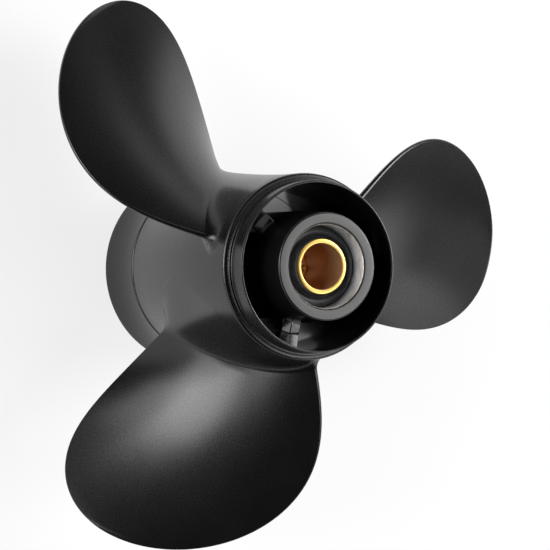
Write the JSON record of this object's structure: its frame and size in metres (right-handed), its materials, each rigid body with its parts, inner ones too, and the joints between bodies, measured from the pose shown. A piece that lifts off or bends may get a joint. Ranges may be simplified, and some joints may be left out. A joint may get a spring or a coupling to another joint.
{
  "type": "outboard motor propeller",
  "caption": "Right-hand ship propeller in black-painted aluminium, with exhaust through the hub, a flared tail ring, and a rubber bushing around a splined brass sleeve.",
  "frame": {"origin": "on the shaft axis, at the height of the centre of volume, which is 74 mm ahead of the tail ring's end", "axes": "+Z along the shaft axis, from the tail ring towards the gearcase; +X through the middle of the root of blade_2; the propeller drives forwards, towards +Z, when it turns clockwise seen from the tail, which is negative about +Z"},
  "size_m": [0.2461, 0.26, 0.1427],
  "materials": {
    "black_paint": "satin black paint on cast aluminium",
    "rubber": "matte moulded",
    "brass": "turned, brown inside the bore"
  },
  "bodies": {
    "root": {"barrel": "black_paint", "tail_ring": "black_paint", "inner_hub": "black_paint", "rib_1": "black_paint", "rib_2": "black_paint", "rib_3": "black_paint", "blade_1": "black_paint", "blade_2": "black_paint", "blade_3": "black_paint", "rubber_bushing": "rubber", "splined_sleeve": "brass"}
  },
  "joints": []
}
